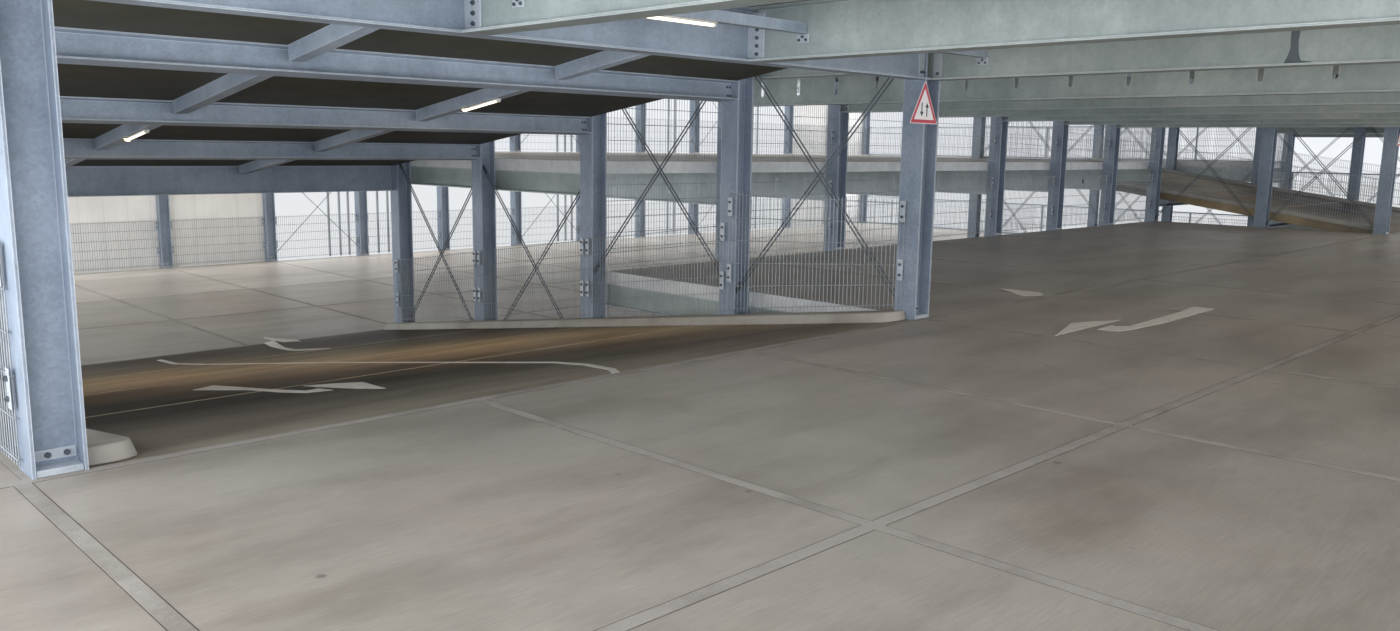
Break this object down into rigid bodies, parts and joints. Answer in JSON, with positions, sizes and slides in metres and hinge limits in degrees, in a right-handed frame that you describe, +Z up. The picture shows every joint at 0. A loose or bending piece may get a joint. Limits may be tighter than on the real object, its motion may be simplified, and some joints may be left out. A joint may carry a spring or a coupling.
{
  "type": "multi storey car park",
  "caption": "Open steel-framed split-level car park: two half decks a half storey apart, joined by ramps, with slotted floor beams, H columns, crossed rods and mesh guards",
  "frame": {"origin": "centre of the footprint, at ground level", "axes": "+X along the lanes and the longest side, +Y from the lower deck A to the deck B half a storey higher, +Z up"},
  "size_m": [37.5, 32.22, 8.33],
  "materials": {
    "concrete": "brushed concrete, slightly warm grey",
    "ramp_concrete": "darker brown-grey concrete",
    "galvanised_steel": "galvanised, light blue-grey with a faint spangle",
    "green_grey_steel": "galvanised, green-grey",
    "guard_steel": "galvanised wire and flats",
    "trim_steel": "pale galvanised edge trim",
    "panel_beige": "flat light beige-grey, matt",
    "lamp_white": "opal diffuser, warm white",
    "sign_face": "white sheet with a red edge"
  },
  "bodies": {
    "root": {"ground_slab_a": "concrete", "ground_deck_b": "concrete", "raised_base_walls": "concrete", "deck_a1": "concrete", "deck_a2": "concrete", "deck_b1": "concrete", "deck_b2": "concrete", "west_ramp_lower": "ramp_concrete", "west_ramp_upper": "ramp_concrete", "east_ramp_lower": "ramp_concrete", "east_ramp_middle": "ramp_concrete", "east_ramp_upper": "ramp_concrete", "ramp_kerbs": "concrete", "beams_a1": "green_grey_steel", "beams_a2": "green_grey_steel", "beams_b1": "green_grey_steel", "beams_b2": "green_grey_steel", "ramp_girders": "green_grey_steel", "ramp_side_beams": "green_grey_steel", "west_cross_beams": "galvanised_steel", "east_cross_beams": "galvanised_steel", "west_ramp_stringers": "galvanised_steel", "east_ramp_stringers": "galvanised_steel", "split_columns": "galvanised_steel", "south_columns": "galvanised_steel", "north_columns": "galvanised_steel", "west_ramp_columns": "galvanised_steel", "east_ramp_columns": "galvanised_steel", "west_ramp_bracing": "galvanised_steel", "east_ramp_bracing": "galvanised_steel", "facade_bracing": "galvanised_steel", "west_ramp_guards": "guard_steel", "east_ramp_guards": "guard_steel", "split_guards_a": "guard_steel", "split_guards_b": "guard_steel", "south_guards": "guard_steel", "north_guards": "guard_steel", "end_guards_a": "guard_steel", "end_guards_b": "guard_steel", "well_guards": "guard_steel", "deck_trims": "trim_steel", "south_bars": "guard_steel", "north_bars": "guard_steel", "north_panels": "panel_beige", "lamp_purlins": "galvanised_steel", "lamps": "lamp_white", "ramp_signs": "sign_face"}
  },
  "joints": []
}
